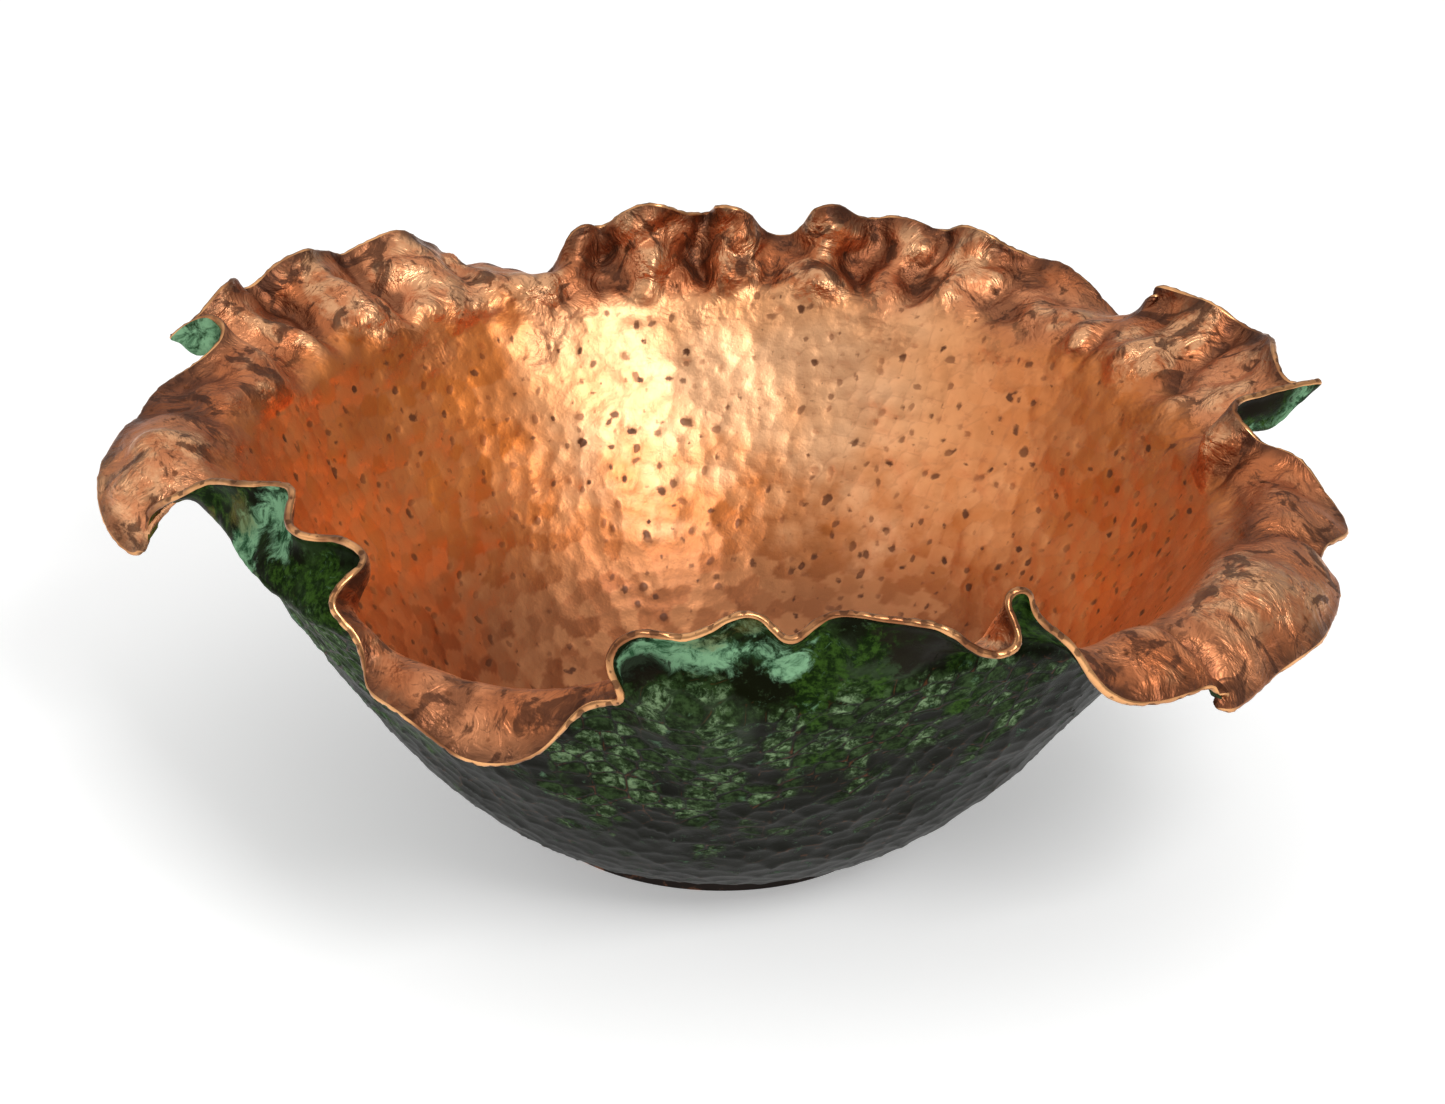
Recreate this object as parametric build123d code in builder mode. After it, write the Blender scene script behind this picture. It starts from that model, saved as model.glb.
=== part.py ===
from build123d import *
import os
from math import exp

# A raised copper bowl with a wide ruffled rim, standing on a low foot ring.
# Millimetres. +Z is up, the origin is the centre of the foot ring's underside,
# -Y is the side with the upright green wave, angles run anticlockwise from +X.

# ---- driving dimensions ----------------------------------------------------
SHEET = 1.3            # thickness of the raised copper sheet
FLAT_RADIUS = 60.0     # radius of the flat bottom of the bowl
THROAT_RADIUS = 146.0  # radius where the wall ends and the ruffled flange starts
THROAT_HEIGHT = 107.0  # height of that line above the table
WALL_POWER = 1.5       # how the wall climbs from the flat bottom to the throat
THROAT_SPREAD = 6.0    # degrees over which the folds even out between edge and throat

FOOT_RADIUS = 57.5     # outer radius of the foot ring
FOOT_STRIP = 2.5       # thickness of the strip the ring is bent from
FOOT_HEIGHT = 6.0      # height of the ring
FOOT_ROUND = 0.5       # worn lower edges of the ring
FOOT_SEAM = 0.6        # gap between the two butted ends of the strip
SEAM_ANGLE = 90.0      # where the ends meet, at the back
BEAD_LEG = 1.8         # leg of the solder bead between ring and bowl
BEAD_WAIST = 0.35      # share of the leg where the bead's hollow face is nearest the corner
FIT_GAP = 0.02         # hair gap that keeps touching pieces apart

BOTTOM_HEIGHT = FOOT_HEIGHT + FIT_GAP + SHEET / 2  # middle of the sheet at the bottom

# Levels of the bowl: radii down the wall, shares of the way along the flange.
WALL_RADII = (FLAT_RADIUS, 63, 69, 77, 88, 102, 117, 132, THROAT_RADIUS)
FLANGE_SHARES = (0.1, 0.22, 0.36, 0.5, 0.64, 0.77, 0.89, 1.0)
EDGE_ANGLES = (0, 45, 90, 135, 180)  # round edge of the sheet, outside to inside
SPACING_POWER = 0.7    # below 1, short folds get more than their share of each ring's spline
SKIN_PLACES = 3        # places per edge row at which the two skins are held apart

# A ruffle that stands high ends upright and one that hangs low ends drooping:
# (height of the edge, angle of the sheet above horizontal at the edge).
EDGE_TILTS = ((92, -75), (100, -65), (106, -50), (112, -25), (118, 0), (124, 25), (130, 45), (138, 70))

# ---- the ruffles -----------------------------------------------------------
# Crests, hollows and corners of the edge: angle, radius and height. Between them
# the edge is a smooth curve.
RUFFLES = (
    # right side: drooping tip, then the edge runs back into a notch
    (-5, 186, 108), (0, 178, 115), (2, 172, 121), (4, 163, 123), (8, 156, 128),
    # right back: beak over the notch, then a wide lobe that ends in a spike
    (12, 170, 130), (15, 189, 129), (16, 182, 127), (18, 180, 130), (24, 188, 131), (28, 188, 131),
    (36, 185, 132), (40, 176, 134),
    # short stretch that rolls over and hangs outside
    (45, 188, 113), (48, 187, 117),
    # back wall: a long lobe, then two pleats that stand up between hollows
    (54, 186, 127), (60, 181, 130), (64, 180, 134), (68, 179, 132), (73, 178, 134), (76, 175, 133),
    (79, 171, 138), (82, 170, 129), (87, 167, 129), (90, 166, 136), (93, 170, 133), (96, 167, 133),
    (101, 163, 138), (105, 165, 131), (108, 166, 130), (111, 167, 119),
    # left back: the edge rolls right over and hangs outside
    (115, 187, 104), (119, 188, 105),
    # left back lobe: leans out, with a pinched tip and a small step
    (124, 184, 120), (129, 180, 132), (133, 184, 128), (143, 185, 130), (146, 186, 126), (149, 186, 130),
    # left side: thin beak, then the edge tucks in under it
    (155, 186, 124), (159, 189, 120), (157, 180, 127), (159, 170, 124),
    # left flap, drooping towards the front
    (165, 178, 116), (171, 182, 113), (174, 183, 112), (182, 185, 106), (187, 182, 95), (189, 175, 90),
    (190, 172, 92),
    # left front: the edge climbs again and curls inwards twice
    (190, 171, 101), (195, 160, 116), (197, 155, 121), (203, 146, 127), (210, 139, 131), (215, 146, 127),
    (220, 143, 127), (224, 142, 129), (227, 143, 128), (229, 151, 127), (229, 158, 121),
    # front left flap, hanging low
    (232, 157, 112), (234, 159, 102), (239, 163, 100), (247, 164, 92), (254, 159, 98), (258, 155, 111),
    # short lip where the sheet turns from hanging to upright
    (261, 157, 114), (260, 157, 124),
    # front: upright wave, two crests with a dent between them
    (262, 154, 131), (267, 151, 130), (272, 150, 137), (275, 150, 135), (277, 153, 131), (280, 151, 136),
    (283, 152, 138), (289, 157, 136),
    # front right: the wave ends in a folded hook
    (292, 161, 134), (296, 164, 126), (299, 164, 129), (299, 157, 139), (301, 157, 140), (302, 158, 134),
    (305, 161, 125),
    # right flap: broad and drooping, with a torn corner
    (309, 167, 109), (314, 171, 103), (319, 174, 103), (321, 176, 102), (321, 179, 97), (328, 181, 98),
    (335, 185, 100), (340, 186, 102), (345, 184, 105), (350, 179, 109),
)

# How the flange leaves the throat: throat angle, height of the throat line above or
# below its mean, angle of the sheet just above it, share of the flange that keeps its
# start and end direction, extra turn of the sheet at the edge.
LEANS = (
    (-1, -2, 40, 0.50, 5), (4, -2, 75, 0.50, 5), (7, -1, 90, 0.55, 0), (14, 0, 25, 0.60, 12),
    (24, 0, 46, 0.45, 0), (35, 1, 52, 0.45, 0), (40, 1, 66, 0.45, 0), (47, 2, 52, 0.45, 0),
    (74, 3, 42, 0.45, 5), (90, 2, 45, 0.45, 5), (102, -2, 50, 0.45, 5), (112, -2, 60, 0.45, 0),
    (150, 1, 48, 0.45, 0), (155, 0, 28, 0.55, 8), (161, 0, 85, 0.50, 0), (168, 0, 58, 0.45, 0),
    (185, -2, 38, 0.55, 0), (194, -3, 20, 0.65, 26), (204, -3, 10, 0.78, 36), (213, -3, 14, 0.66, 30),
    (221, -3, 24, 0.55, 24), (228, -3, 45, 0.45, 10), (250, -2, 62, 0.45, 0), (257, 3, 74, 0.45, 0),
    (262, 4, 95, 0.45, 5), (277, -3, 102, 0.45, 0), (288, 3, 97, 0.45, 0), (297, 8, 92, 0.40, 0),
    (304, 7, 82, 0.45, 0), (312, 2, 66, 0.45, 0), (330, -2, 60, 0.45, 0), (345, -2, 66, 0.45, 0),
)


# ---- the sheet's middle surface --------------------------------------------
def polar(angle, radius, height):
    """Point at an angle and radius round the bowl's axis."""
    return Vector(radius, 0, height).rotate(Axis.Z, angle)


EDGE = [polar(*row) for row in RUFFLES]
EDGE_STEPS = [(after - before).length for before, after in zip(EDGE, EDGE[1:] + EDGE[:1])]


def throat_angles():
    """Angle at which the sheet below each edge row leaves the throat.

    It is the row's place along the edge, moved by how far the rows around it run
    ahead of or behind their places.
    """
    places = [360 * sum(EDGE_STEPS[:count]) / sum(EDGE_STEPS) for count in range(len(EDGE))]
    ahead = [angle - place for (angle, _, _), place in zip(RUFFLES, places)]
    angles = []
    for place in places:
        gaps = [(place - other + 180) % 360 - 180 for other in places]
        weights = [exp(-((gap / THROAT_SPREAD) ** 2)) for gap in gaps]
        moved = sum(weight * lead for weight, lead in zip(weights, ahead)) / sum(weights)
        angles.append(place + moved)
    return angles


THROATS = throat_angles()


def flange_lean(throat):
    """Row of LEANS at a throat angle, read between its neighbours on the loop."""
    place = (throat - LEANS[0][0]) % 360 + LEANS[0][0]
    rows = LEANS + ((LEANS[0][0] + 360, *LEANS[0][1:]),)
    for low, high in zip(rows, rows[1:]):
        if place <= high[0]:
            break
    share = (place - low[0]) / (high[0] - low[0])
    return [one + (two - one) * share for one, two in zip(low[1:], high[1:])]


def edge_tilt(height):
    """Angle of the sheet at the edge, read between the rows of EDGE_TILTS."""
    for (low, tilt_low), (high, tilt_high) in zip(EDGE_TILTS, EDGE_TILTS[1:]):
        if height <= high:
            break
    share = min(1.0, max(0.0, (height - low) / (high - low)))
    return tilt_low + (tilt_high - tilt_low) * share


def way_up(angle, tilt):
    """Unit vector in the upright plane at an angle, tilted above the horizontal."""
    return Vector(1, 0, 0).rotate(Axis.Y, -tilt).rotate(Axis.Z, angle)


def wall_level(radius):
    """Points of one level of the wall, and the way up the wall at each."""
    reach = THROAT_RADIUS - FLAT_RADIUS
    share = (radius - FLAT_RADIUS) / reach
    climb = THROAT_HEIGHT - BOTTOM_HEIGHT
    points = []
    ways = []
    for throat in THROATS:
        rise = flange_lean(throat)[0]
        height = BOTTOM_HEIGHT + climb * share**WALL_POWER + rise * share**3
        slope = (WALL_POWER * climb * share ** (WALL_POWER - 1) + 3 * rise * share**2) / reach
        points.append(polar(throat, radius, height))
        ways.append(polar(throat, 1, slope))
    return points, ways


def flange_level(share):
    """Points of one level of the flange, and the way along the flange at each."""
    rest = 1 - share
    points = []
    ways = []
    for throat, end, (angle, _, height) in zip(THROATS, EDGE, RUFFLES):
        rise, lean, keep, curl = flange_lean(throat)
        start = polar(throat, THROAT_RADIUS, THROAT_HEIGHT + rise)
        pull = (end - start).length * keep
        leave = start + way_up(throat, lean) * pull
        arrive = end - way_up(angle, edge_tilt(height) + curl) * pull
        first_half = start * rest**3 + leave * (3 * rest**2 * share)
        last_half = arrive * (3 * rest * share**2) + end * share**3
        points.append(first_half + last_half)
        turning = (leave - start) * rest**2 + (arrive - leave) * (2 * rest * share)
        ways.append(turning + (end - arrive) * share**2)
    return points, ways


# ---- closed rings that the skins are lofted through -------------------------
def ring_spacing():
    """Shared spline parameter of every row, from 0 to 1 round the edge."""
    steps = [step**SPACING_POWER for step in EDGE_STEPS]
    return [sum(steps[:count]) / sum(steps) for count in range(len(steps) + 1)]


def finer(spacing):
    """The same parameters with extra ones between each pair."""
    places = []
    for low, high in zip(spacing, spacing[1:]):
        places += [low + (high - low) * part / SKIN_PLACES for part in range(SKIN_PLACES)]
    return places + [1.0]


SPACING = ring_spacing()
SKIN_SPACING = finer(SPACING)


def closed_ring(points, spacing):
    """Smooth closed wire through one level's points."""
    return Wire([Edge.make_spline(points, periodic=True, parameters=spacing)])


def ring_points(points):
    """Points at every place of SKIN_SPACING on the ring through one level's points."""
    ring = closed_ring(points, SPACING).edge()
    return [ring.position_at(place, position_mode=PositionMode.PARAMETER) for place in SKIN_SPACING[:-1]]


def sheet_frames(level):
    """Middle of the sheet, normal to its outside and way along it, all round one level."""
    points, ways = level
    middles = ring_points(points)
    aheads = ring_points([point + way.normalized() for point, way in zip(points, ways)])
    frames = []
    for count, (middle, ahead) in enumerate(zip(middles, aheads)):
        around = middles[(count + 1) % len(middles)] - middles[count - 1]
        way = ahead - middle
        frames.append((middle, around.cross(way).normalized(), way))
    return frames


def skin_ring(level, side):
    """Ring of one skin: side is 1 for the outer skin and -1 for the inner one."""
    skin = [middle + normal * (side * SHEET / 2) for middle, normal, _ in sheet_frames(level)]
    return closed_ring(skin, SKIN_SPACING)


def edge_ring(turn):
    """Ring of the rounded edge, turn degrees over from the outer skin."""
    rim = []
    for middle, normal, way in sheet_frames(flange_level(1.0)):
        rim.append(middle + normal.rotate(Axis((0, 0, 0), normal.cross(way)), turn) * (SHEET / 2))
    return closed_ring(rim, SKIN_SPACING)


# ---- bowl shell ------------------------------------------------------------
levels = [wall_level(radius) for radius in WALL_RADII] + [flange_level(share) for share in FLANGE_SHARES]
outer_rings = [skin_ring(level, 1) for level in levels]
inner_rings = [skin_ring(level, -1) for level in levels]
edge_rings = [outer_rings[-1]] + [edge_ring(turn) for turn in EDGE_ANGLES[1:-1]] + [inner_rings[-1]]

skins = [
    Face(outer_rings[0]),
    *Shell.make_loft(outer_rings).faces(),
    *Shell.make_loft(edge_rings).faces(),
    *Shell.make_loft(inner_rings).faces(),
    Face(inner_rings[0]),
]
bowl_solid = Solid(Shell(skins))

with BuildPart() as bowl_shell:
    add(bowl_solid)

# ---- foot ring: a strip bent round, its two ends butted at the back ----------
def strip_section():
    """Cross-section of the foot strip, with its worn lower edges."""
    with BuildSketch(Plane.XZ) as section:
        with Locations((FOOT_RADIUS - FOOT_STRIP, 0)):
            Rectangle(FOOT_STRIP, FOOT_HEIGHT, align=(Align.MIN, Align.MIN))
        fillet(section.vertices().group_by(Axis.Y)[0], FOOT_ROUND)
    return section.sketch


seam_plane = Plane(polar(SEAM_ANGLE, FOOT_RADIUS - FOOT_STRIP / 2, 0), x_dir=polar(SEAM_ANGLE, 1, 0))

with BuildPart() as foot_ring:
    revolve(strip_section(), axis=Axis.Z)
    with BuildSketch(seam_plane):
        Rectangle(FOOT_STRIP * 2, FOOT_SEAM)
    extrude(amount=FOOT_HEIGHT, mode=Mode.SUBTRACT)

# ---- filler in the butt joint of the strip -----------------------------------
with BuildPart() as ring_seam:
    revolve(strip_section(), axis=Axis.Z)
    with BuildSketch(seam_plane):
        Rectangle(FOOT_STRIP * 2, FOOT_SEAM - 2 * FIT_GAP)
    extrude(amount=FOOT_HEIGHT, mode=Mode.INTERSECT)


# ---- solder beads where the ring meets the bowl -------------------------------
def bead(face_radius, side):
    """Concave bead in the corner between bowl and ring; side is 1 outside, -1 inside."""
    near = face_radius + side * FIT_GAP
    far = near + side * BEAD_LEG
    hollow = near + side * BEAD_LEG * BEAD_WAIST
    with BuildSketch(Plane.XZ) as section:
        with BuildLine():
            Polyline((near, FOOT_HEIGHT - BEAD_LEG), (near, FOOT_HEIGHT), (far, FOOT_HEIGHT))
            ThreePointArc(
                (far, FOOT_HEIGHT),
                (hollow, FOOT_HEIGHT - BEAD_LEG * BEAD_WAIST),
                (near, FOOT_HEIGHT - BEAD_LEG),
            )
        make_face()
    return section.sketch


with BuildPart() as solder_outside:
    revolve(bead(FOOT_RADIUS, 1), axis=Axis.Z)

with BuildPart() as solder_inside:
    revolve(bead(FOOT_RADIUS - FOOT_STRIP, -1), axis=Axis.Z)

# ---- write one file per piece --------------------------------------------------
os.makedirs("parts", exist_ok=True)
bowl_shell.part.label = "bowl_shell"
export_step(bowl_shell.part, "parts/bowl_shell.step")
foot_ring.part.label = "foot_ring"
export_step(foot_ring.part, "parts/foot_ring.step")
ring_seam.part.label = "ring_seam"
export_step(ring_seam.part, "parts/ring_seam.step")
solder_outside.part.label = "solder_outside"
export_step(solder_outside.part, "parts/solder_outside.step")
solder_inside.part.label = "solder_inside"
export_step(solder_inside.part, "parts/solder_inside.step")
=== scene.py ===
import math

import bpy
import numpy as np
from mathutils import Matrix, Vector, kdtree


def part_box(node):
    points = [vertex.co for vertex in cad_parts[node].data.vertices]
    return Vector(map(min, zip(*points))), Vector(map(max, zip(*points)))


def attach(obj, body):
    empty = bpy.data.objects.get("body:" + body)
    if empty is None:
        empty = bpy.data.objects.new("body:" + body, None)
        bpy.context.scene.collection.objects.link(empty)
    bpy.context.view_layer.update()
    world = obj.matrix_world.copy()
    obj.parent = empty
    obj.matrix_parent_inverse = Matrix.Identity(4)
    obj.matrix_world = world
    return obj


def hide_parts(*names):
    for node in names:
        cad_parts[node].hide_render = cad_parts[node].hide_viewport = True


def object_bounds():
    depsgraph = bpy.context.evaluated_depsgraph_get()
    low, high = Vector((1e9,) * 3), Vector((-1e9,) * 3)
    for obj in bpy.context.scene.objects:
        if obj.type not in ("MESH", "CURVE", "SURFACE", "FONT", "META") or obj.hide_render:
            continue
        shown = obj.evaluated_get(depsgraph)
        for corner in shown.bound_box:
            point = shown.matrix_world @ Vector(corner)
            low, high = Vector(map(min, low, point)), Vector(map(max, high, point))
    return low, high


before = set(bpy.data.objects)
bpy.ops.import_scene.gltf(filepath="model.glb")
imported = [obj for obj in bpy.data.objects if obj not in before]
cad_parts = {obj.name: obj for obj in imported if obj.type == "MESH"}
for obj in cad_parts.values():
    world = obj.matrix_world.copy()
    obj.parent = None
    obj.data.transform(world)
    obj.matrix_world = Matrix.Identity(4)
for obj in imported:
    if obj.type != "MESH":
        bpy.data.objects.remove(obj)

cad_low, cad_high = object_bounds()

# Lengths in the shape code are millimetres; meshes are scaled to metres at the end.
MM = 0.001
shell_low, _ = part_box("bowl_shell")

# ---- dimensions ---------------------------------------------------------------
SHEET = 1.3
UPSET = 0.9               # how much thicker the hammered edge is
FLAT_RADIUS = 60.0
THROAT_RADIUS = 146.0
THROAT_HEIGHT = 107.0
WALL_POWER = 1.5
THROAT_SPREAD = 6.0
BACK_ANGLE = 90
BOTTOM_HEIGHT = shell_low.z / MM + SHEET / 2
EDGE_TILTS = ((92, -75), (100, -65), (106, -50), (112, -25), (118, 0), (124, 25), (130, 45), (138, 70))

# Crests, hollows and corners of the edge: angle, radius and height. The edge curves
# smoothly between them.
RUFFLES = (
    # right side: drooping tip, then the edge runs back into a notch
    (-5, 186, 108), (0, 178, 115), (2, 172, 121), (4, 163, 123), (8, 156, 128),
    # right back: beak over the notch, then a wide lobe that ends in a spike
    (12, 170, 130), (15, 189, 129), (16, 182, 127), (18, 180, 130), (24, 188, 131), (28, 188, 131),
    (36, 185, 132), (40, 176, 134),
    # short stretch that rolls over and hangs outside
    (45, 188, 113), (48, 187, 117),
    # back wall: a long lobe, then two pleats that stand up between hollows
    (54, 186, 127), (60, 181, 130), (64, 180, 134), (68, 179, 132), (73, 178, 134), (76, 175, 133),
    (79, 171, 138), (82, 170, 129), (87, 167, 129), (90, 166, 136), (93, 170, 133), (96, 167, 133),
    (101, 163, 138), (105, 165, 131), (108, 166, 130), (111, 167, 119),
    # left back: the edge rolls right over and hangs outside
    (115, 187, 104), (119, 188, 105),
    # left back lobe: leans out, with a pinched tip and a small step
    (124, 184, 120), (129, 180, 132), (133, 184, 128), (143, 185, 130), (146, 186, 126), (149, 186, 130),
    # left side: thin beak, then the edge tucks in under it
    (155, 186, 124), (159, 189, 120), (157, 180, 127), (159, 170, 124),
    # left flap, drooping towards the front
    (165, 178, 116), (171, 182, 113), (174, 183, 112), (182, 185, 106), (187, 182, 95), (189, 175, 90),
    (190, 172, 92),
    # left front: the edge climbs again and curls inwards twice
    (190, 171, 101), (195, 160, 116), (197, 155, 121), (203, 146, 127), (210, 139, 131), (215, 146, 127),
    (220, 143, 127), (224, 142, 129), (227, 143, 128), (229, 151, 127), (229, 158, 121),
    # front left flap, hanging low
    (232, 157, 112), (234, 159, 102), (239, 163, 100), (247, 164, 92), (254, 159, 98), (258, 155, 111),
    # short lip where the sheet turns from hanging to upright
    (261, 157, 114), (260, 157, 124),
    # front: upright wave, two crests with a dent between them
    (262, 154, 131), (267, 151, 130), (272, 150, 137), (275, 150, 135), (277, 153, 131), (280, 151, 136),
    (283, 152, 138), (289, 157, 136),
    # front right: the wave ends in a folded hook
    (292, 161, 134), (296, 164, 126), (299, 164, 129), (299, 157, 139), (301, 157, 140), (302, 158, 134),
    (305, 161, 125),
    # right flap: broad and drooping, with a torn corner
    (309, 167, 109), (314, 171, 103), (319, 174, 103), (321, 176, 102), (321, 179, 97), (328, 181, 98),
    (335, 185, 100), (340, 186, 102), (345, 184, 105), (350, 179, 109),
)

# Creases hammered into the flange: throat angle, half width, depth (outwards is positive).
CREASES = (
    (28, 5.0, 4.2), (34, 4.0, -3.0), (40, 5.5, 5.0), (56, 5.0, 3.0), (62, 4.0, -3.0), (67, 4.5, 4.0),
    (74, 4.8, 5.0), (79.5, 6.0, -3.6), (85, 5.0, 2.6), (90, 5.6, -3.4), (94, 4.6, 4.6), (100, 5.4, -3.2),
    (106, 5.0, 4.0), (123, 4.6, -2.6), (134, 4.2, 3.4), (140, 4.0, -2.6), (146, 3.8, 3.8), (151, 4.0, -2.6),
    (4, 3.6, 2.4), (348, 5.0, 2.4), (322, 3.6, 2.4), (172, 5.0, 1.6), (180, 6.0, -1.6),
    (243, 5.0, 1.6), (286, 6.0, 1.0),
)

# Broad bulges (outwards is positive): throat angle, climb, half angle, half climb, depth.
BULGES = (
    (268, 1.00, 6.5, 0.13, 5.0), (268, 1.30, 7, 0.20, -1.6), (281, 1.02, 6, 0.18, -2.2),
    (285, 1.60, 5, 0.35, 1.8), (298, 0.98, 7, 0.12, 1.6), (258, 0.95, 3.5, 0.10, -1.5),
    (291, 1.30, 5, 0.25, 2.0), (206, 1.25, 7, 0.25, -2.5), (216, 1.45, 4, 0.50, -2.0),
)

# Colour patches of the verdigris outside: throat angle, climb (1 throat, 2 edge), half angle, half climb.
PATCHES = {
    "turquoise": ((264, 1.66, 5, 0.30), (270, 1.66, 6, 0.28), (277, 1.55, 2, 0.14), (208, 1.80, 4, 0.20),
                  (206, 1.35, 3, 0.40), (129, 1.90, 5, 0.25), (157, 1.70, 3, 0.40), (13, 1.50, 2, 0.30)),
    "ochre": ((272, 1.88, 4, 0.14), (190, 1.60, 4, 0.40), (201, 1.70, 2.5, 0.20)),
    "moss": ((282, 1.55, 5, 0.50), (13, 1.50, 6, 0.60), (158, 1.60, 5, 0.50), (299, 1.70, 6, 0.50),
             (196, 1.40, 8, 0.60), (220, 1.35, 8, 0.50)),
    # The soot patch at 262 degrees also darkens the hollow by the front hump as painted shade.
    "soot_and_shade": ((290, 1.65, 4.5, 0.40), (262, 1.35, 3, 0.30), (193, 1.75, 3, 0.30), (11, 1.70, 2, 0.50)),
    "scales": ((262, 1.00, 20, 0.30), (267, 1.06, 6, 0.16), (263, 1.12, 4, 0.12),
               (246, 1.02, 14, 0.20), (292, 0.97, 16, 0.16), (215, 1.05, 14, 0.25)),
}

# How the flange leaves the throat: throat angle, height of the throat line above or
# below its mean, angle of the sheet just above it, share of the flange that keeps its
# start and end direction, extra turn of the sheet at the edge.
LEANS = (
    (-1, -2, 40, 0.50, 5), (4, -2, 75, 0.50, 5), (7, -1, 90, 0.55, 0), (14, 0, 25, 0.60, 12),
    (24, 0, 46, 0.45, 0), (35, 1, 52, 0.45, 0), (40, 1, 66, 0.45, 0), (47, 2, 52, 0.45, 0),
    (74, 3, 42, 0.45, 5), (90, 2, 45, 0.45, 5), (102, -2, 50, 0.45, 5), (112, -2, 60, 0.45, 0),
    (150, 1, 48, 0.45, 0), (155, 0, 28, 0.55, 8), (161, 0, 85, 0.50, 0), (168, 0, 58, 0.45, 0),
    (185, -2, 38, 0.55, 0), (194, -3, 20, 0.65, 26), (204, -3, 10, 0.78, 36), (213, -3, 14, 0.66, 30),
    (221, -3, 24, 0.55, 24), (228, -3, 45, 0.45, 10), (250, -2, 62, 0.45, 0), (257, 3, 74, 0.45, 0),
    (262, 4, 95, 0.45, 5), (277, -3, 102, 0.45, 0), (288, 3, 97, 0.45, 0), (297, 8, 92, 0.40, 0),
    (304, 7, 82, 0.45, 0), (312, 2, 66, 0.45, 0), (330, -2, 60, 0.45, 0), (345, -2, 66, 0.45, 0),
)

# Hammer marks: gap between rows, gap along a row, scatter as a share of the gap.
OUTER_MARKS = (5.8, 8.6, 0.34)
INNER_MARKS = (6.0, 6.6, 0.42)
PITS = (4.6, 5.4, 0.48)
OUTER_MARK_HOLLOW = 0.017      # how fast a mark outside deepens towards its middle
OUTER_MARK_TIP = 0.085         # most that a mark outside leans up or down the wall
INNER_MARK_CROWN = 0.013       # how fast a mark inside falls away from its middle
PIT_SMALLEST = 0.25
PIT_RANGE = 1.60
PIT_DEPTH = 0.34
PIT_STAIN = (0.15, 0.95)       # weakest and strongest colour of a pit
RIM_DENT_GAP = 4.3
RIM_DENT_SIZE = (0.3, 1.3)
RIM_DENT_DEPTH = 0.28
CREASE_WANDER = 2.6            # how far a crease strays from its angle
BROAD_PLEATS = (34, 2.5)       # sharp folds of the back flange: spacing and depth
FINE_PLEATS = (17, 1.0)
PLEAT_LEVEL = 0.45
SEED = 11

ROUND_COUNT = 960   # points round the bowl
ROW_GAP = 1.0       # gap between rows down the wall
FLANGE_ROWS = 48
CORNER_PASSES = 4     # times each row round the bowl is eased


# ---- the sheet's middle surface -------------------------------------------------
def periodic_spline(knots, values, places):
    """Cubic spline through values at knots on a loop of length 1, read at places."""
    count = len(knots)
    gaps = np.diff(np.append(knots, knots[0] + 1.0))
    system = np.zeros((count, count))
    right = np.zeros_like(values)
    for i in range(count):
        before, after = gaps[i - 1], gaps[i]
        system[i, i - 1] += before
        system[i, i] += 2 * (before + after)
        system[i, (i + 1) % count] += after
        ahead = (values[(i + 1) % count] - values[i]) / after
        right[i] = 6 * (ahead - (values[i] - values[i - 1]) / before)
    bends = np.linalg.solve(system, right)
    first = np.clip(np.searchsorted(knots, places, side="right") - 1, 0, count - 1)
    second = (first + 1) % count
    gap = gaps[first][:, None]
    done = (places - knots[first])[:, None]
    left = gap - done
    return (
        (bends[first] * left**3 + bends[second] * done**3) / (6 * gap)
        + (values[first] / gap - bends[first] * gap / 6) * left
        + (values[second] / gap - bends[second] * gap / 6) * done
    )


def polar(angle, radius, height):
    angle = np.radians(angle)
    return np.stack([radius * np.cos(angle), radius * np.sin(angle), height + 0 * angle], axis=-1)


def unit(vectors):
    return vectors / np.maximum(np.linalg.norm(vectors, axis=-1, keepdims=True), 1e-9)


def smooth(low, high, value):
    share = np.clip((value - low) / (high - low), 0, 1)
    return share * share * (3 - 2 * share)


def wall_height(radius):
    share = np.clip((radius - FLAT_RADIUS) / (THROAT_RADIUS - FLAT_RADIUS), 0, None)
    return BOTTOM_HEIGHT + (THROAT_HEIGHT - BOTTOM_HEIGHT) * share**WALL_POWER


def throat_angles(angle, edge):
    """Angle at which the sheet below each edge row leaves the throat: the row's place
    along the edge, moved by how far the rows around it run ahead of or behind theirs."""
    steps = np.linalg.norm(np.roll(edge, -1, axis=0) - edge, axis=1)
    places = 360 * (np.cumsum(steps) - steps) / steps.sum()
    gaps = (places[:, None] - places + 180) % 360 - 180
    weights = np.exp(-((gaps / THROAT_SPREAD) ** 2))
    return places + weights @ (angle - places) / weights.sum(axis=1)


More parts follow.
